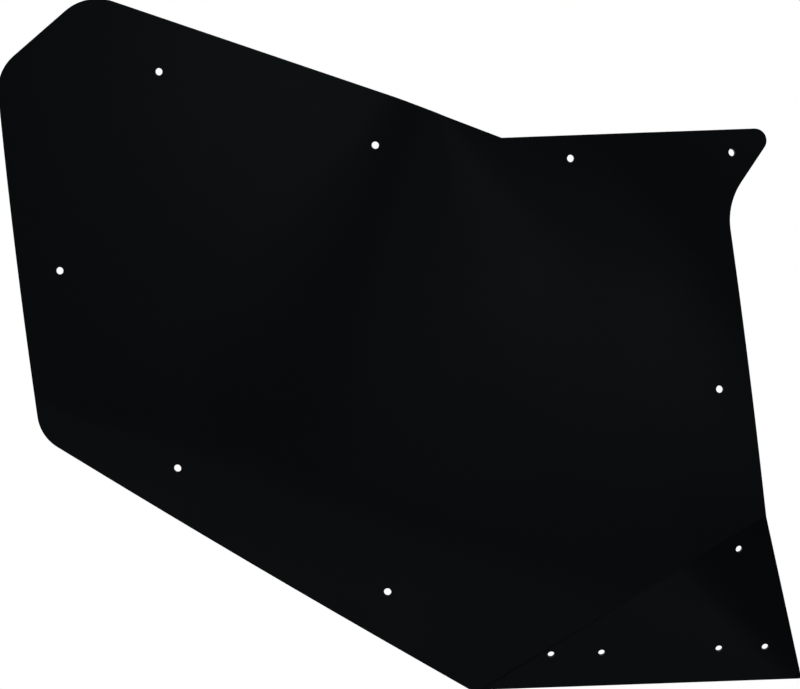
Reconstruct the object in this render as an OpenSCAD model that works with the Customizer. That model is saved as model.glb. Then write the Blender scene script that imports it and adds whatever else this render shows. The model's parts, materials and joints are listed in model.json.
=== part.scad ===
// Formed sheet body panel: one flat blank, cut, drilled and folded.
// The blank's outline and holes are laid out on a reference plane (x across, z up).
// The outer face stands behind that plane by a depth worked out from four creases and a roll.
// The plane then leans away from the outer side, and the datum hole is brought to the origin.
// +X runs towards the rear end, -Y is the outer side, +Z is up.

/* [Sheet] */
// Thickness of the sheet
sheet_t = 3; // [1.5:0.1:4]
// Diameter of the fixing holes above the flap fold
hole_d = 7; // [5:0.1:9]
// Diameter of the fixing holes in the flap
flap_hole_d = 6.4; // [5:0.1:9]
// Lean of the reference plane away from the outer side, degrees from upright
lean = 7; // [0:0.5:15]

/* [Front end] */
// Lower front corner, distance forward of the middle
chin_x = 341.5; // [330:0.5:355]
// Lower front corner, height
chin_z = 240.5; // [225:0.5:255]
// Lower front corner, radius
chin_r = 40; // [20:1:60]
// Upper front corner, distance forward of the middle
nose_x = 383.5; // [375:0.5:395]
// Upper front corner, height
nose_z = 587; // [570:0.5:600]
// Upper front corner, radius
nose_r = 43; // [10:1:50]
// Highest corner, distance forward of the middle
crown_x = 297.5; // [285:0.5:310]
// Highest corner, height
crown_z = 661.5; // [650:0.5:670]
// Highest corner, radius
crown_r = 46; // [10:1:50]

/* [Upper edge] */
// Slight corner where the brow crease meets the upper edge, distance rearward of the middle
brow_x = 0; // [-10:0.5:10]
// Slight corner in the upper edge, height
brow_z = 560; // [555:0.5:565]
// Inner corner where the rear upper edge begins, distance rearward of the middle
step_x = 96; // [85:0.5:105]
// Inner corner, height
step_z = 523.5; // [515:0.5:530]

/* [Rear end] */
// Sharp tip of the ear before rounding, distance rearward of the middle
ear_x = 358.5; // [350:0.5:365]
// Sharp tip of the ear before rounding, height
ear_z = 534; // [525:0.5:540]
// Radius of the ear's tip
ear_r = 11.5; // [5:0.5:14]
// Corner of the sweep under the ear, distance rearward of the middle
notch_x = 310; // [300:0.5:318]
// Corner of the sweep under the ear, height
notch_z = 461.5; // [450:0.5:475]
// Radius of the sweep under the ear
notch_r = 65; // [40:1:90]
// Rear end of the flap fold, distance rearward of the middle
knee_x = 347; // [335:0.5:355]
// Rear end of the flap fold, height
knee_z = 165; // [155:0.5:180]
// Lower rear corner, distance rearward of the middle
heel_x = 381.5; // [370:0.5:390]
// Lower rear corner, height
heel_z = 10.5; // [5:0.5:20]

/* [Lower edge] */
// Lowest corner, distance rearward of the middle
toe_x = 67; // [55:0.5:74]
// Lower end of the flap fold, distance rearward of the middle
fold_x = 76; // [75:0.5:90]

/* [Edges] */
// Radius left on the sharp cut corners
cut_r = 2; // [0.5:0.5:5]
// Rise of the bowed front edge's middle vertex
front_rise = 3.5; // [0.5:0.1:6]
// Rise of the bowed rear edge's middle vertex
rear_rise = 2; // [0.5:0.1:4]
// Rise of the bowed lower edge's middle vertex
lower_rise = 3.2; // [0.5:0.1:6]
// Share of each of those edges that the rounding of its vertex takes
bow_share = 0.75; // [0.3:0.05:0.75]
// Radius that softens the slight corner in the upper edge
brow_r = 700; // [100:10:750]

/* [Fixing holes] */
// Set-back of the two holes along the front upper edge
upper_gap = 49; // [30:0.5:60]
// Their distances from the highest corner
upper_at = [89.5, 306]; // [60:0.5:330]
// Set-back of the two holes along the rear upper edge
ear_gap = 22; // [15:0.5:30]
// Their distances from the inner corner
ear_at = [64.5, 218]; // [20:0.5:225]
// Set-back of the hole at the front edge
front_gap = 37.5; // [25:0.5:60]
// Its distance from the lower front corner
front_at = [154]; // [80:0.5:280]
// Set-back of the hole at the rear edge
rear_gap = 29; // [20:0.5:40]
// Its distance from the corner of the sweep
rear_at = [173.5]; // [60:0.5:240]
// Set-back of the two holes along the lower front edge
lower_gap = 40.5; // [25:0.5:60]
// Their distances from the lowest corner
lower_at = [115.5, 346.5]; // [60:0.5:400]
// Set-back of the four holes along the bottom edge
bottom_gap = 31.5; // [20:0.5:40]
// Their distances from the lower rear corner
bottom_at = [34, 78, 189.5, 237.5]; // [25:0.5:260]
// Set-back of the hole just below the fold at the rear
knee_gap = 32; // [20:0.5:40]
// Its distance from the rear end of the fold
knee_at = [24.5]; // [20:0.5:110]

/* [Shape] */
// Backward slope of the front part per unit of distance forward
front_slope = 0.19; // [0.1:0.01:0.25]
// Backward slope of the front part per unit of distance down
under_slope = 0.05; // [0:0.01:0.1]
// Slope that the flap fold adds
fold_turn = 0.45; // [0.2:0.01:0.6]
// Width over which the flap fold bends
fold_w = 3; // [2:0.5:8]
// Slope that the brow crease adds
brow_turn = 0.18; // [0.1:0.01:0.3]
// Slope that the shoulder crease adds
shoulder_turn = 0.16; // [0.05:0.01:0.25]
// Radius of the roll behind the shoulder crease
roll_r = 500; // [400:10:900]
// Slope that the chin crease adds
chin_turn = 0.08; // [0.02:0.01:0.15]

/* [Hidden] */

// Facets of a round hole
hole_fn = 48;
// Largest turn of an outline arc per segment, in degrees, and the fewest segments in an arc
arc_step = 7.5;
arc_least = 4;
// Length of the drills that cut the holes, and the reach of the outline cutter each way
drill_l = 16;
cutter_reach = 400;
// Spacing of the surface points, and how many lie above and below the fold and before and behind the knee
cell = 25;
cells_above = 32;
cells_below = 7;
cells_behind = 10;
cells_before = 24;
// Half the distance over which a slope is measured
probe = 0.5;

chin = [-chin_x, chin_z];
nose = [-nose_x, nose_z];
crown = [-crown_x, crown_z];
brow = [brow_x, brow_z];
step = [step_x, step_z];
ear = [ear_x, ear_z];
notch = [notch_x, notch_z];
knee = [knee_x, knee_z];
heel = [heel_x, heel_z];
toe = [toe_x, 0];
fold_end = [fold_x, 0];

// A crease is [foot, heading]: the sheet turns back on the left of its heading.
fold = [knee, heading(fold_end - knee)];
// The brow crease starts at this width at the upper edge and opens out as it runs down.
brow_crease = [brow, -116];
brow_w = 50;
brow_spread = 0.5;
// The shoulder crease is sharp at the upper edge, widest in the middle and tight again at the fold.
shoulder = [[38, 546], -60.8];
shoulder_l = 485;
shoulder_top_w = 4;
shoulder_mid_w = 120;
shoulder_low_w = 32;
// Below the fold the shoulder crease swings towards the lower rear corner by this much of the depth.
shoulder_swing = 0.2;
// The chin crease is widest at the fold and tightens towards the lower front corner.
chin_crease = [[209, 87], 160.8];
chin_w = 60;
chin_spread = -0.07;
least_w = 20;

function unit(v) = v / norm(v);
function heading(v) = atan2(v.y, v.x);
function wrap(a) = a > 180 ? a - 360 : a < -180 ? a + 360 : a;
function left_of(v) = [-v.y, v.x];
function along(p, crease) = (p - crease[0]) * [cos(crease[1]), sin(crease[1])];
function across(p, crease) = (p - crease[0]) * [-sin(crease[1]), cos(crease[1])];

// Depth that a crease adds at s to its left: none before it, a straight slope after it, a parabola between.
function bend(s, turn, width) =
    s <= -width / 2 ? 0
    : s >= width / 2 ? turn * s
    : turn * pow(s + width / 2, 2) / (2 * width);

function shoulder_w(t) =
    let (share = min(1, max(0, t / shoulder_l)))
    shoulder_top_w + (shoulder_low_w - shoulder_top_w) * share + shoulder_mid_w * sin(180 * share);

function flap_s(p) = across(p, fold);
function shoulder_s(p) = across(p, shoulder) - shoulder_swing * max(0, flap_s(p));

// Distance of the outer face behind the reference plane.
function depth(p) =
    -[front_slope, under_slope] * p
    + bend(flap_s(p), fold_turn, fold_w)
    + bend(across(p, brow_crease), brow_turn, brow_w + brow_spread * max(0, along(p, brow_crease)))
    + bend(shoulder_s(p), shoulder_turn, shoulder_w(along(p, shoulder)))
    + pow(max(0, shoulder_s(p)), 2) / (2 * roll_r)
    + bend(across(p, chin_crease), chin_turn, max(least_w, chin_w + chin_spread * along(p, chin_crease)));

// Outward direction of the outer face, from the depth a little to each side.
function outward(p) =
    let (a = [probe, 0], b = [0, probe])
    unit([depth(p + a) - depth(p - a), -2 * probe, depth(p + b) - depth(p - b)]);

// Point of the sheet under p on the reference plane, at a distance inside the outer face.
function sheet_point(p, inside) = [p.x, depth(p), p.y] - inside * outward(p);

// Arc that rounds corner b between a and c.
function fillet(a, b, c, r) =
    let (u = unit(a - b), v = unit(c - b), half = acos(u * v) / 2)
    let (hub = b + unit(u + v) * r / sin(half), reach = r / tan(half))
    let (start = heading(b + u * reach - hub), turn = wrap(heading(b + v * reach - hub) - start))
    let (n = max(arc_least, ceil(abs(turn) / arc_step)))
    [for (i = [0:n]) hub + r * [cos(start + turn * i / n), sin(start + turn * i / n)]];

// Middle vertex of the edge from a to b, raised to the left of it, with the radius that bows the edge there.
function bow(a, b, rise) =
    let (half_edge = norm(b - a) / 2)
    [(a + b) / 2 + left_of(unit(b - a)) * rise, bow_share * half_edge * half_edge / rise];

// Corners clockwise from the lower front one, each with its radius.
corners = [
    [chin, chin_r],
    bow(chin, nose, front_rise),
    [nose, nose_r],
    [crown, crown_r],
    [brow, brow_r],
    [step, cut_r],
    [ear, ear_r],
    [notch, notch_r],
    bow(notch, knee, rear_rise),
    [knee, cut_r],
    [heel, cut_r],
    [toe, cut_r],
    bow(toe, chin, lower_rise),
];
corner_count = len(corners);
outline = [
    for (i = [0:corner_count - 1])
        let (before = corners[(i + corner_count - 1) % corner_count], after = corners[(i + 1) % corner_count])
        each fillet(before[0], corners[i][0], after[0], corners[i][1])
];

// Holes set back to the right of the edge from a to b, at the given distances from a.
function hole_row(a, b, gap, distances) =
    [for (d = distances) a + unit(b - a) * d - left_of(unit(b - a)) * gap];

body_holes = concat(
    hole_row(crown, brow, upper_gap, upper_at),
    hole_row(step, ear, ear_gap, ear_at),
    hole_row(notch, knee, rear_gap, rear_at),
    hole_row(toe, chin, lower_gap, lower_at),
    hole_row(chin, nose, front_gap, front_at)
);
flap_holes = concat(
    hole_row(knee, heel, knee_gap, knee_at),
    hole_row(heel, toe, bottom_gap, bottom_at)
);
datum = body_holes[1];

// Surface points lie on rows parallel to the flap fold, with one row on each side of its bend.
row_s = concat(
    [for (i = [cells_above:-1:1]) -fold_w / 2 - i * cell],
    [-fold_w / 2, fold_w / 2],
    [for (i = [1:cells_below]) fold_w / 2 + i * cell]
);
row_t = [for (i = [-cells_behind:cells_before]) i * cell];
function grid_point(t, s) =
    let (c = [cos(fold[1]), sin(fold[1])])
    knee + c * t + left_of(c) * s;

module curved_sheet() {
    rows = len(row_s);
    columns = len(row_t);
    layer = rows * columns;
    outer = [for (s = row_s) for (t = row_t) sheet_point(grid_point(t, s), 0)];
    inner = [for (s = row_s) for (t = row_t) sheet_point(grid_point(t, s), sheet_t)];
    function at(r, c) = r * columns + c;
    faces = [
        for (r = [0:rows - 2]) for (c = [0:columns - 2])
            each [
                [at(r, c), at(r + 1, c + 1), at(r, c + 1)],
                [at(r, c), at(r + 1, c), at(r + 1, c + 1)],
                [layer + at(r, c), layer + at(r, c + 1), layer + at(r + 1, c + 1)],
                [layer + at(r, c), layer + at(r + 1, c + 1), layer + at(r + 1, c)],
            ]
    ];
    rim = concat(
        [for (c = [0:columns - 1]) at(0, c)],
        [for (r = [1:rows - 1]) at(r, columns - 1)],
        [for (c = [columns - 2:-1:0]) at(rows - 1, c)],
        [for (r = [rows - 2:-1:1]) at(r, 0)]
    );
    sides = [
        for (i = [0:len(rim) - 1])
            let (a = rim[i], b = rim[(i + 1) % len(rim)])
            each [[a, b, layer + a], [b, layer + b, layer + a]]
    ];
    polyhedron(points = concat(outer, inner), faces = concat(faces, sides), convexity = 4);
}

module outline_cutter() {
    rotate([90, 0, 0])
        linear_extrude(2 * cutter_reach, center = true)
            polygon(outline);
}

// Cylinder of diameter d square to the sheet at p.
module drill(p, d) {
    n = outward(p);
    translate(sheet_point(p, sheet_t / 2))
        rotate([0, acos(n.z), atan2(n.y, n.x)])
            cylinder(h = drill_l, d = d, center = true, $fn = hole_fn);
}

module formed_panel() {
    color([0.05, 0.055, 0.06])
        rotate([-lean, 0, 0])
            translate(-sheet_point(datum, sheet_t / 2))
                difference() {
                    intersection() {
                        curved_sheet();
                        outline_cutter();
                    }
                    for (p = body_holes) drill(p, hole_d);
                    for (p = flap_holes) drill(p, flap_hole_d);
                }
}

formed_panel();
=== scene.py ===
"""Looks of the formed sheet body panel.

A finer sheet than the CAD's, its satin black plastic, the light, the floor and the camera.
"""

import json
import math

import bpy
import numpy as np
from mathutils import Matrix, Vector
from mathutils.geometry import delaunay_2d_cdt


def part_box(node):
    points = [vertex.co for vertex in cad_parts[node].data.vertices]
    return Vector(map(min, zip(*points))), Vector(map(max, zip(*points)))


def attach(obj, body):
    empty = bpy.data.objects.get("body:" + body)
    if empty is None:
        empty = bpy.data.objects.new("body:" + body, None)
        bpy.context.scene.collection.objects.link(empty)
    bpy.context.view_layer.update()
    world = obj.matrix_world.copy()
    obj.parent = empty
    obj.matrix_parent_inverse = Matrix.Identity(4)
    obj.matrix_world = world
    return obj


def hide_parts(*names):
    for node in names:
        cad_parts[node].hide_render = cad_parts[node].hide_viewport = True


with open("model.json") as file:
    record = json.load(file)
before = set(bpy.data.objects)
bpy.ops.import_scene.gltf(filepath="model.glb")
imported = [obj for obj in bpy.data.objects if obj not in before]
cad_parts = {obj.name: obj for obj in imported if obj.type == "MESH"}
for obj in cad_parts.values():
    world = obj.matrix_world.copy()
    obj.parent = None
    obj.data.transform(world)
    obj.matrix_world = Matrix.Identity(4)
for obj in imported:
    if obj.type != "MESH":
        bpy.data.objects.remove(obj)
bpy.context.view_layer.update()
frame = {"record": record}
holes = [m for m in frame["record"]["mounts"] if m["kind"] == "bore"]

# ---------------------------------------------------------------- the sheet, as part.scad lays it out (mm)

SHEET_T = 3.0
LEAN = math.radians(7)

CHIN = (-341.5, 240.5)
NOSE = (-383.5, 587.0)
CROWN = (-297.5, 661.5)
BROW = (0.0, 560.0)
STEP = (96.0, 523.5)
EAR = (358.5, 534.0)
NOTCH = (310.0, 461.5)
KNEE = (347.0, 165.0)
HEEL = (381.5, 10.5)
TOE = (67.0, 0.0)
FOLD_END = (76.0, 0.0)
BOW_SHARE = 0.75
UPPER_GAP = 49.0
UPPER_AT = 306.0

FRONT_SLOPE = 0.19
UNDER_SLOPE = 0.05
FOLD_TURN, FOLD_W = 0.45, 3.0
BROW_TURN, BROW_W, BROW_SPREAD = 0.18, 50.0, 0.5
SHOULDER_TURN, SHOULDER_L = 0.16, 485.0
SHOULDER_TOP_W, SHOULDER_MID_W, SHOULDER_LOW_W = 4.0, 120.0, 32.0
SHOULDER_SWING = 0.2
ROLL_R = 500.0
CHIN_TURN, CHIN_W, CHIN_SPREAD, LEAST_W = 0.08, 60.0, -0.07, 20.0
PROBE = 0.5

CHIN_R, NOSE_R, CROWN_R, BROW_R, EAR_R, NOTCH_R, CUT_R = 40, 43, 46, 700, 11.5, 65, 2
FRONT_RISE, REAR_RISE, LOWER_RISE = 3.5, 2, 3.2


def vec(p):
    return np.asarray(p, float)


def unit(v):
    return v / np.linalg.norm(v, axis=-1, keepdims=True)


def turned(v):
    """v turned a quarter turn to its left, on the reference plane."""
    return np.stack([-v[..., 1], v[..., 0]], axis=-1)


def ray(degrees):
    return vec([math.cos(math.radians(degrees)), math.sin(math.radians(degrees))])


FOLD = (vec(KNEE), unit(vec(FOLD_END) - vec(KNEE)))
BROW_CREASE = (vec(BROW), ray(-116))
SHOULDER = (vec([38, 546]), ray(-60.8))
CHIN_CREASE = (vec([209, 87]), ray(160.8))


def along(p, crease):
    return (p - crease[0]) @ crease[1]


def across(p, crease):
    return (p - crease[0]) @ turned(crease[1])


def bend(s, turn, width):
    """Depth a crease adds at s to its left: none before it, a straight slope after it, a parabola between."""
    inside = turn * np.square(s + width / 2) / (2 * width)
    return np.where(s <= -width / 2, 0.0, np.where(s >= width / 2, turn * s, inside))


def depth(p):
    """How far the outer face stands behind the reference plane."""
    flap = across(p, FOLD)
    shoulder = across(p, SHOULDER) - SHOULDER_SWING * np.maximum(0, flap)
    share = np.clip(along(p, SHOULDER) / SHOULDER_L, 0, 1)
    shoulder_w = (
        SHOULDER_TOP_W
        + (SHOULDER_LOW_W - SHOULDER_TOP_W) * share
        + SHOULDER_MID_W * np.sin(math.pi * share)
    )
    chin_w = np.maximum(LEAST_W, CHIN_W + CHIN_SPREAD * along(p, CHIN_CREASE))
    brow_w = BROW_W + BROW_SPREAD * np.maximum(0, along(p, BROW_CREASE))
    return (
        -(p @ vec([FRONT_SLOPE, UNDER_SLOPE]))
        + bend(flap, FOLD_TURN, FOLD_W)
        + bend(across(p, BROW_CREASE), BROW_TURN, brow_w)
        + bend(shoulder, SHOULDER_TURN, shoulder_w)
        + np.square(np.maximum(0, shoulder)) / (2 * ROLL_R)
        + bend(across(p, CHIN_CREASE), CHIN_TURN, chin_w)
    )


def outward(p):
    """Unit normal of the outer face."""
    gx = (depth(p + vec([PROBE, 0])) - depth(p - vec([PROBE, 0]))) / (2 * PROBE)
    gz = (depth(p + vec([0, PROBE])) - depth(p - vec([0, PROBE]))) / (2 * PROBE)
    return unit(np.stack([gx, -np.ones_like(gx), gz], axis=-1))


def sheet_point(p, inside):
    d = depth(p)
    return np.stack([p[..., 0], d, p[..., 1]], axis=-1) - inside * outward(p)


# ---------------------------------------------------------------- frame of the part

TILT = np.array(
    [
        [1, 0, 0],
        [0, math.cos(LEAN), math.sin(LEAN)],
        [0, -math.sin(LEAN), math.cos(LEAN)],
    ]
)
MIDDLE = vec([0, 0, 330])
upper_edge = unit(vec(BROW) - vec(CROWN))
DATUM = sheet_point(vec(CROWN) + upper_edge * UPPER_AT - turned(upper_edge) * UPPER_GAP, SHEET_T / 2)


def to_part(points):
    """From the reference plane's frame in mm to the part's frame in metres."""
    return (points - DATUM) @ TILT.T / 1000


def from_part(points):
    return (vec(points) * 1000) @ TILT + DATUM


# ---------------------------------------------------------------- outline and hole rims


def fillet(a, b, c, radius, step=math.radians(4), least=8):
    """Arc that rounds corner b between a and c."""
    a, b, c = vec(a), vec(b), vec(c)
    u, v = unit(a - b), unit(c - b)
    half = math.acos(u @ v) / 2
    hub = b + unit(u + v) * radius / math.sin(half)
    reach = radius / math.tan(half)
    first, last = b + u * reach - hub, b + v * reach - hub
    start = math.atan2(first[1], first[0])
    turn = math.atan2(last[1], last[0]) - start
    turn = (turn + math.pi) % (2 * math.pi) - math.pi
    n = max(least, math.ceil(abs(turn) / step))
    angles = start + turn * np.arange(n + 1) / n
    return hub + radius * np.stack([np.cos(angles), np.sin(angles)], axis=-1)


def bow(a, b, rise):
    """Middle of the edge from a to b, raised to the left of it, with the radius that bows the edge there."""
    a, b = vec(a), vec(b)
    half_edge = np.linalg.norm(b - a) / 2
    return (a + b) / 2 + turned(unit(b - a)) * rise, BOW_SHARE * half_edge**2 / rise


# Corners clockwise from the lower front one, each with its radius.
corners = [
    (CHIN, CHIN_R),
    bow(CHIN, NOSE, FRONT_RISE),
    (NOSE, NOSE_R),
    (CROWN, CROWN_R),
    (BROW, BROW_R),
    (STEP, CUT_R),
    (EAR, EAR_R),
    (NOTCH, NOTCH_R),
    bow(NOTCH, KNEE, REAR_RISE),
    (KNEE, CUT_R),
    (HEEL, CUT_R),
    (TOE, CUT_R),
    bow(TOE, CHIN, LOWER_RISE),
]


# Longest step along the cut edge, the steps where it crosses the fold, and the shortest step kept, in mm.
EDGE_STEP = 4
FOLD_REACH, FOLD_STEP = 4, 0.5
LEAST_STEP = 0.2
SWELL = 0.08
TINY = 1e-6
FLAT_AREA = 1e-9


def outline():
    """The cut edge on the reference plane, clockwise, with short steps where it crosses the fold.

    Also a hair's swell of its straight stretches, so that the triangulation skips none of their points.
    """
    n = len(corners)
    path = np.concatenate(
        [
            fillet(corners[i - 1][0], corners[i][0], corners[(i + 1) % n][0], corners[i][1])
            for i in range(n)
        ]
    )
    out, swell = [], []
    for a, b in zip(path, np.roll(path, -1, axis=0)):
        gap = np.linalg.norm(b - a)
        if gap < TINY:
            continue
        sa, sb = across(a, FOLD), across(b, FOLD)
        pieces = max(1, math.ceil(gap / EDGE_STEP))
        shares = set(np.arange(pieces) / pieces)
        if abs(sa - sb) > TINY:
            for s in np.arange(-FOLD_REACH, FOLD_REACH + FOLD_STEP / 2, FOLD_STEP):
                f = (s - sa) / (sb - sa)
                if 0 < f < 1:
                    shares.add(f)
        shares = sorted(shares)
        kept = [shares[0]]
        for f in shares[1:]:
            if (f - kept[-1]) * gap > LEAST_STEP and (1 - f) * gap > LEAST_STEP:
                kept.append(f)
        out += [a + (b - a) * f for f in kept]
        swell += [turned(b - a) / gap * SWELL * f * (1 - f) for f in kept]
    return vec(out), vec(swell)


# Rounding of the cut edge and of the hole rims in mm, the steps of a rounding, and the points round a hole.
EDGE_R = 0.35
RIM_R = 0.15
ARC = 4
RIM_POINTS = 56


def edge_profile(radius):
    """Section of a cut edge from outer face to inner face.

    Distance in from the wall, height over mid thickness, and angle of the normal from the outer face's.
    """
    up = np.radians(np.linspace(0, 90, ARC + 1))
    down = np.radians(np.linspace(90, 180, ARC + 1))
    angles = np.concatenate([up, down])
    flat = SHEET_T / 2 - radius
    level = np.concatenate([np.full(ARC + 1, flat), np.full(ARC + 1, -flat)])
    return radius - radius * np.sin(angles), level + radius * np.cos(angles), angles


class Loop:
    """A closed cut edge: its points and their normals, in the reference plane's frame."""

    def __init__(self, middle, normal, inward, radius):
        u, v, angles = edge_profile(radius)
        self.points = (
            middle[:, None, :]
            + inward[:, None, :] * u[None, :, None]
            + normal[:, None, :] * v[None, :, None]
        )
        self.normals = (
            -inward[:, None, :] * np.sin(angles)[None, :, None]
            + normal[:, None, :] * np.cos(angles)[None, :, None]
        )


def outline_loop(p):
    normal = outward(p)
    top = sheet_point(p, 0)
    tangent = unit(np.roll(top, -1, axis=0) - top) + unit(top - np.roll(top, 1, axis=0))
    inward = unit(np.cross(normal, unit(tangent)))
    # Clockwise seen from outside: the sheet lies to the right of the way along the edge.
    if np.mean(np.sum(inward * (MIDDLE - top), axis=1)) < 0:
        inward = -inward
    return Loop(top - normal * SHEET_T / 2, normal, inward, EDGE_R)


def hole_loop(mount):
    centre = from_part(mount["pos_m"])
    axis = vec(mount["axis"]) @ TILT
    e1 = unit(np.cross(axis, vec([0, 0, 1])))
    e2 = np.cross(axis, e1)
    a = 2 * math.pi * np.arange(RIM_POINTS) / RIM_POINTS
    spoke = np.cos(a)[:, None] * e1 + np.sin(a)[:, None] * e2
    rim = centre + spoke * mount["dims"]["r_mm"]
    return Loop(rim, np.repeat(axis[None], RIM_POINTS, axis=0), spoke, RIM_R)


# ---------------------------------------------------------------- triangles of the two faces


def inside(points, loop):
    """Which points lie inside a closed loop on the reference plane."""
    a, b = loop, np.roll(loop, -1, axis=0)
    hit = np.zeros(len(points), bool)
    for (ax, az), (bx, bz) in zip(a, b):
        if az == bz:
            continue
        cross = (az > points[:, 1]) != (bz > points[:, 1])
        x = ax + (points[:, 1] - az) * (bx - ax) / (bz - az)
        hit ^= cross & (points[:, 0] < x)
    return hit


def nearest(points, others, batch=2000):
    """Distance from each point to the nearest of the others."""
    out = np.full(len(points), np.inf)
    for i in range(0, len(points), batch):
        d = points[i : i + batch, None] - others[None]
        out[i : i + batch] = np.sqrt(np.min(np.sum(d * d, axis=2), axis=1))
    return out


def lattice(spacing, left, right, low, high):
    """Corners of even triangles over a rectangle."""
    row = np.arange(left, right, spacing)
    heights = np.arange(low, high, spacing * math.sqrt(3) / 2)
    return np.concatenate(
        [
            np.stack([row + (i % 2) * spacing / 2, np.full(len(row), height)], axis=-1)
            for i, height in enumerate(heights)
        ]
    )


def rows_along(crease, first, last, step, offsets):
    """Rows of points beside a crease, at the given offsets to its left."""
    t = np.arange(first, last, step)
    return np.concatenate([crease[0] + crease[1] * t[:, None] + turned(crease[1]) * s for s in offsets])


# Rows beside the fold and beside the sharp head of the shoulder crease, in mm from each.
FOLD_OFFSETS = (-4.5, -2.5, -1.5, -1, -0.5, 0, 0.5, 1, 1.5, 2.5, 4.5)
HEAD_OFFSETS = (-8, -5, -3, -2, -1, 0, 1, 2, 3, 5, 8)
# Room kept between the rows, the even lattice, the cut edge and the holes.
ROW_ROOM = 2
FOLD_ROOM, HEAD_ROOM = 7, 10.5
HEAD_MIDDLE, HEAD_HALF = 36, 56
EDGE_ROOM, EVEN_EDGE_ROOM = 1.2, 3.5
FOLD_BAND, HEAD_BAND = 5, 9


def face_points(edge, rims):
    """Points inside the cut edge: rows by the fold and the head of the shoulder, an even lattice elsewhere."""
    fold_rows = rows_along(FOLD, -8, 330, 4.0, FOLD_OFFSETS)
    head_rows = rows_along(SHOULDER, -18, 90, 3.0, HEAD_OFFSETS)
    head_rows = head_rows[nearest(head_rows, fold_rows) > ROW_ROOM]
    even = lattice(6.0, -400, 400, -10, 680)
    even = even[np.abs(across(even, FOLD)) > FOLD_ROOM]
    beside_head = np.abs(across(even, SHOULDER)) < HEAD_ROOM
    beside_head &= np.abs(along(even, SHOULDER) - HEAD_MIDDLE) < HEAD_HALF
    points = np.concatenate([fold_rows, head_rows, even[~beside_head]])
    points = points[inside(points, edge)]
    points = points[nearest(points, edge) > EDGE_ROOM]
    keep = nearest(points, edge) > EVEN_EDGE_ROOM
    keep |= np.abs(across(points, FOLD)) < FOLD_BAND
    keep |= np.abs(across(points, SHOULDER)) < HEAD_BAND
    points = points[keep]
    return points[nearest(points, np.concatenate(rims)) > ROW_ROOM]


def sheet_mesh():
    """Points, normals and faces of the sheet: both sides and the rounded walls of the edge and the holes."""
    edge, swell = outline()
    loops = [outline_loop(edge)] + [hole_loop(m) for m in holes]
    rings = [loop.points[:, 0][:, [0, 2]] for loop in loops]
    inner_points = face_points(rings[0], rings[1:])
    flat = np.concatenate([rings[0] + swell, *rings[1:], inner_points])
    edges, start = [], 0
    for ring in rings:
        n = len(ring)
        edges += [(start + i, start + (i + 1) % n) for i in range(n)]
        start += n
    made = delaunay_2d_cdt([Vector(p) for p in flat.tolist()], edges, [], 0, TINY)
    if len(made[0]) != len(flat):
        raise ValueError("the cut edges cross or touch")
    order = [ids[0] for ids in made[3]]
    triangles = np.array([[order[i] for i in f] for f in made[2]])
    middle = flat[triangles].mean(axis=1)
    keep = inside(middle, rings[0])
    for ring in rings[1:]:
        keep &= ~inside(middle, ring)
    triangles = triangles[keep]
    a, b, c = flat[triangles[:, 0]], flat[triangles[:, 1]], flat[triangles[:, 2]]
    area = (b[:, 0] - a[:, 0]) * (c[:, 1] - a[:, 1]) - (b[:, 1] - a[:, 1]) * (c[:, 0] - a[:, 0])
    solid = np.abs(area) > FLAT_AREA
    triangles, area = triangles[solid], area[solid]
    # Seen from outside (looking along +y) x runs right and z up, so anticlockwise faces look outwards.
    triangles[area < 0] = triangles[area < 0][:, ::-1]

    steps = 2 * ARC + 2
    points, normals, faces = [], [], []
    for loop in loops:
        base = sum(len(p) for p in points)
        n = len(loop.points)
        points.append(loop.points.reshape(-1, 3))
        normals.append(loop.normals.reshape(-1, 3))
        for i in range(n):
            j = (i + 1) % n
            for k in range(steps - 1):
                here, there = base + i * steps + k, base + j * steps + k
                faces.append([here, here + 1, there + 1, there])
    ring_total = sum(len(r) for r in rings)
    outer_id = np.concatenate(
        [np.arange(ring_total) * steps, ring_total * steps + np.arange(len(inner_points))]
    )
    inner_id = np.concatenate(
        [
            np.arange(ring_total) * steps + steps - 1,
            ring_total * steps + len(inner_points) + np.arange(len(inner_points)),
        ]
    )
    normal = outward(inner_points)
    points += [sheet_point(inner_points, 0), sheet_point(inner_points, SHEET_T)]
    normals += [normal, -normal]
    faces += outer_id[triangles].tolist()
    faces += inner_id[triangles][:, ::-1].tolist()
    return np.concatenate(points), np.concatenate(normals), faces


def build_panel():
    points, normals, faces = sheet_mesh()
    mesh = bpy.data.meshes.new("panel_sheet")
    mesh.from_pydata(to_part(points).tolist(), [], faces)
    mesh.update()
    piece = bpy.data.objects.new("panel_sheet", mesh)
    bpy.context.collection.objects.link(piece)
    # Walls are wound to look out of the sheet, whichever way their loop runs.
    target = normals @ TILT.T
    flip = []
    for polygon in mesh.polygons:
        wanted = target[list(polygon.vertices)].mean(axis=0)
        if polygon.normal @ Vector(wanted) < 0:
            flip.append(polygon.index)
    for i in flip:
        mesh.polygons[i].flip()
    mesh.update()
    mesh.polygons.foreach_set("use_smooth", [True] * len(mesh.polygons))
    mesh.normals_split_custom_set_from_vertices([Vector(n) for n in target.tolist()])
    mesh.update()
    return piece


# ---------------------------------------------------------------- satin black plastic


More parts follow.
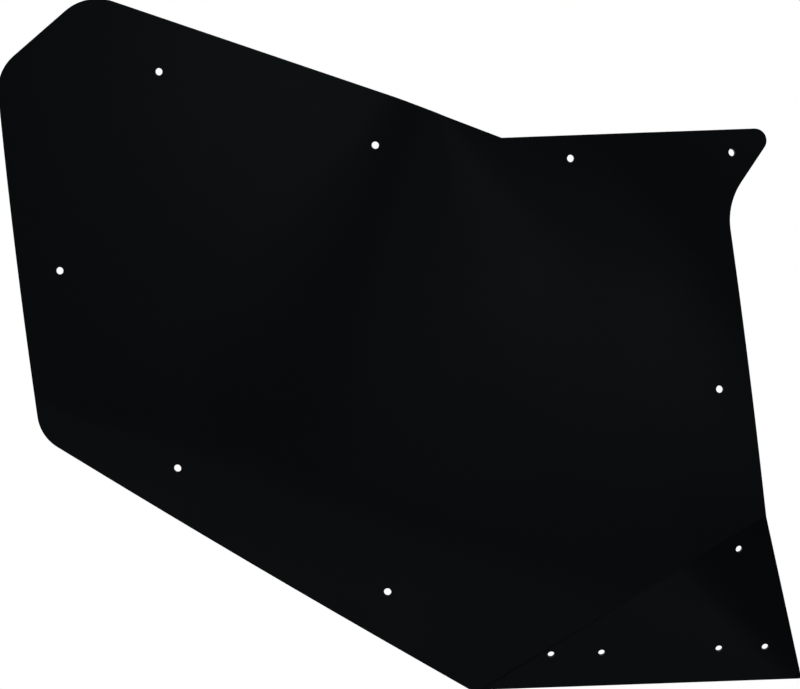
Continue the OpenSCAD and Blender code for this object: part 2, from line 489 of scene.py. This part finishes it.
def satin_plastic():
    """Satin black plastic: near-black base, fine peel and grain, and a slow drift in the gloss."""
    material = bpy.data.materials.new("satin_black_plastic")
    material.use_nodes = True
    tree = material.node_tree
    nodes, links = tree.nodes, tree.links
    shader = nodes["Principled BSDF"]
    shader.inputs["Metallic"].default_value = 0.0
    shader.inputs["IOR"].default_value = 1.5
    shader.inputs["Specular IOR Level"].default_value = 0.5

    place = nodes.new("ShaderNodeTexCoord")

    def noise(scale, detail, rough):
        n = nodes.new("ShaderNodeTexNoise")
        n.inputs["Scale"].default_value = scale
        n.inputs["Detail"].default_value = detail
        n.inputs["Roughness"].default_value = rough
        links.new(place.outputs["Object"], n.inputs["Vector"])
        return n

    def ranged(source, low, high):
        m = nodes.new("ShaderNodeMapRange")
        m.inputs["From Min"].default_value = 0.3
        m.inputs["From Max"].default_value = 0.7
        m.inputs["To Min"].default_value = low
        m.inputs["To Max"].default_value = high
        links.new(source, m.inputs["Value"])
        return m.outputs["Result"]

    drift = noise(9, 3, 0.5)
    grain = noise(2600, 2, 0.6)
    peel = noise(620, 3, 0.55)

    # Base colour: black with a faint cool cast, a touch lighter in the pits of the grain.
    tone = nodes.new("ShaderNodeMix")
    tone.data_type = "RGBA"
    tone.inputs["A"].default_value = (0.0065, 0.0078, 0.0086, 1)
    tone.inputs["B"].default_value = (0.0105, 0.0124, 0.0134, 1)
    links.new(ranged(grain.outputs["Fac"], 0, 1), tone.inputs["Factor"])
    links.new(tone.outputs["Result"], shader.inputs["Base Color"])

    gloss = nodes.new("ShaderNodeMath")
    gloss.operation = "ADD"
    links.new(ranged(drift.outputs["Fac"], 0.28, 0.32), gloss.inputs[0])
    links.new(ranged(grain.outputs["Fac"], -0.02, 0.03), gloss.inputs[1])
    links.new(gloss.outputs["Value"], shader.inputs["Roughness"])

    peel_bump = nodes.new("ShaderNodeBump")
    peel_bump.inputs["Strength"].default_value = 0.35
    peel_bump.inputs["Distance"].default_value = 0.00006
    links.new(peel.outputs["Fac"], peel_bump.inputs["Height"])
    grain_bump = nodes.new("ShaderNodeBump")
    grain_bump.inputs["Strength"].default_value = 0.3
    grain_bump.inputs["Distance"].default_value = 0.00002
    links.new(grain.outputs["Fac"], grain_bump.inputs["Height"])
    links.new(peel_bump.outputs["Normal"], grain_bump.inputs["Normal"])
    links.new(grain_bump.outputs["Normal"], shader.inputs["Normal"])
    return material


panel = build_panel()
panel.data.materials.append(satin_plastic())
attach(panel, "root")
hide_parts("formed_panel")

# ---------------------------------------------------------------- floor, light and camera


def white(strength, off_camera):
    """White to the camera at one strength, and as a light and in reflections at another."""
    material = bpy.data.materials.new("studio_white")
    material.use_nodes = True
    tree = material.node_tree
    tree.nodes.clear()
    glow = tree.nodes.new("ShaderNodeEmission")
    out = tree.nodes.new("ShaderNodeOutputMaterial")
    path = tree.nodes.new("ShaderNodeLightPath")
    level = tree.nodes.new("ShaderNodeMapRange")
    level.inputs["To Min"].default_value = off_camera
    level.inputs["To Max"].default_value = strength
    tree.links.new(path.outputs["Is Camera Ray"], level.inputs["Value"])
    tree.links.new(level.outputs["Result"], glow.inputs["Strength"])
    tree.links.new(glow.outputs["Emission"], out.inputs["Surface"])
    return material


low, high = (vec(c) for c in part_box("formed_panel"))

floor_mesh = bpy.data.meshes.new("floor")
reach = 60.0
floor_z = float(low[2])
floor_mesh.from_pydata(
    [(-reach, -reach, floor_z), (reach, -reach, floor_z), (reach, reach, floor_z), (-reach, reach, floor_z)],
    [],
    [(0, 1, 2, 3)],
)
floor = bpy.data.objects.new("floor", floor_mesh)
bpy.context.collection.objects.link(floor)
floor_mesh.materials.append(white(1.0, 0.05))
for seen_by in ("visible_glossy", "visible_diffuse", "visible_transmission", "visible_shadow"):
    setattr(floor, seen_by, False)

LIGHT_DISTANCE = 1.3
# A little blue in the light, with the brightness of white.
COOL = (0.87, 1.035, 1.13)


def toward(azimuth, elevation):
    """Way out from the panel, in the reference plane's frame. Azimuth 0 is the outer side, 90 the rear end."""
    a, e = math.radians(azimuth), math.radians(elevation)
    return vec([math.sin(a) * math.cos(e), -math.cos(a) * math.cos(e), math.sin(e)])


def softbox(name, azimuth, elevation, size, roll, power):
    """Soft light aimed at the middle of the panel and hidden from the camera. size is in metres."""
    away = toward(azimuth, elevation)
    a, r = math.radians(azimuth), math.radians(roll)
    right = vec([math.cos(a), math.sin(a), 0])
    up = np.cross(away, right)
    x = right * math.cos(r) + up * math.sin(r)
    y = np.cross(away, x)
    data = bpy.data.lights.new(name, "AREA")
    data.shape = "RECTANGLE"
    data.size, data.size_y = size
    data.energy = power
    data.color = COOL
    light = bpy.data.objects.new(name, data)
    bpy.context.collection.objects.link(light)
    turn = Matrix((TILT @ np.stack([x, y, away], axis=-1)).tolist()).to_4x4()
    light.matrix_world = Matrix.Translation(to_part(MIDDLE) + TILT @ away * LIGHT_DISTANCE) @ turn
    light.visible_camera = False
    return light


def studio_world():
    """White to the camera. To the panel it is a pale room with a dark, soft-rimmed flag in front."""
    flag = TILT @ toward(*FLAG_AT)
    world = bpy.data.worlds.new("studio")
    bpy.context.scene.world = world
    world.use_nodes = True
    tree = world.node_tree
    nodes, links = tree.nodes, tree.links
    nodes.clear()
    sky = nodes.new("ShaderNodeBackground")
    out = nodes.new("ShaderNodeOutputWorld")
    path = nodes.new("ShaderNodeLightPath")
    way = nodes.new("ShaderNodeTexCoord")
    facing = nodes.new("ShaderNodeVectorMath")
    facing.operation = "DOT_PRODUCT"
    facing.inputs[1].default_value = flag.tolist()
    room = nodes.new("ShaderNodeMapRange")
    room.interpolation_type = "SMOOTHSTEP"
    room.inputs["From Min"].default_value = FLAG_RIM[0]
    room.inputs["From Max"].default_value = FLAG_RIM[1]
    room.inputs["To Min"].default_value = ROOM
    room.inputs["To Max"].default_value = FLAG
    level = nodes.new("ShaderNodeMapRange")
    level.inputs["To Max"].default_value = 1.0
    links.new(way.outputs["Generated"], facing.inputs[0])
    links.new(facing.outputs["Value"], room.inputs["Value"])
    links.new(path.outputs["Is Camera Ray"], level.inputs["Value"])
    links.new(room.outputs["Result"], level.inputs["To Min"])
    links.new(level.outputs["Result"], sky.inputs["Strength"])
    tint = nodes.new("ShaderNodeMix")
    tint.data_type = "RGBA"
    tint.inputs["A"].default_value = (*COOL, 1)
    tint.inputs["B"].default_value = (1, 1, 1, 1)
    links.new(path.outputs["Is Camera Ray"], tint.inputs["Factor"])
    links.new(tint.outputs["Result"], sky.inputs["Color"])
    links.new(sky.outputs["Background"], out.inputs["Surface"])


ROOM, FLAG = 0.28, 0.032
FLAG_AT, FLAG_RIM = (22, -12), (0.1, 0.5)
studio_world()

softbox("front_left", -25, 5, (0.45, 0.25), -40, 0.06)
softbox("front_middle", 5, -10, (0.2, 0.45), -50, 0.05)
softbox("front_right", 30, 0, (1.0, 0.15), 20, 0.1)
softbox("low_left", -35, -25, (0.6, 0.2), -30, 0.045)
softbox("low_middle", -10, -35, (0.5, 0.1), -10, 0.035)
softbox("low_right", 20, -40, (0.6, 0.15), -30, 0.03)
softbox("under_flap", 40, -70, (0.4, 0.5), 40, 0.025)
softbox("under_heel", 50, -55, (0.4, 0.1), -15, 0.02)
softbox("rear_high", 65, 35, (0.1, 0.15), 0, 0.12)
softbox("back_left", 140, -10, (0.2, 0.9), 20, 0.3)
softbox("back_right", 230, 10, (0.3, 0.8), -25, 0.3)
softbox("back_high", 180, 50, (0.9, 0.25), 10, 0.3)

camera_data = bpy.data.cameras.new("camera")
camera = bpy.data.objects.new("camera", camera_data)
bpy.context.collection.objects.link(camera)
bpy.context.scene.camera = camera
distance = 24.0
picture_width = 0.757
aim = to_part(vec([-0.2, 0, 328.0]))
back = TILT @ toward(0, 0)
camera.location = aim + back * distance
camera.rotation_euler = Vector(back).to_track_quat("Z", "Y").to_euler()
camera_data.sensor_width = 36.0
camera_data.lens = 36.0 * distance / picture_width
camera_data.clip_start, camera_data.clip_end = 1.0, 200.0

bpy.context.scene.view_settings.view_transform = "Standard"
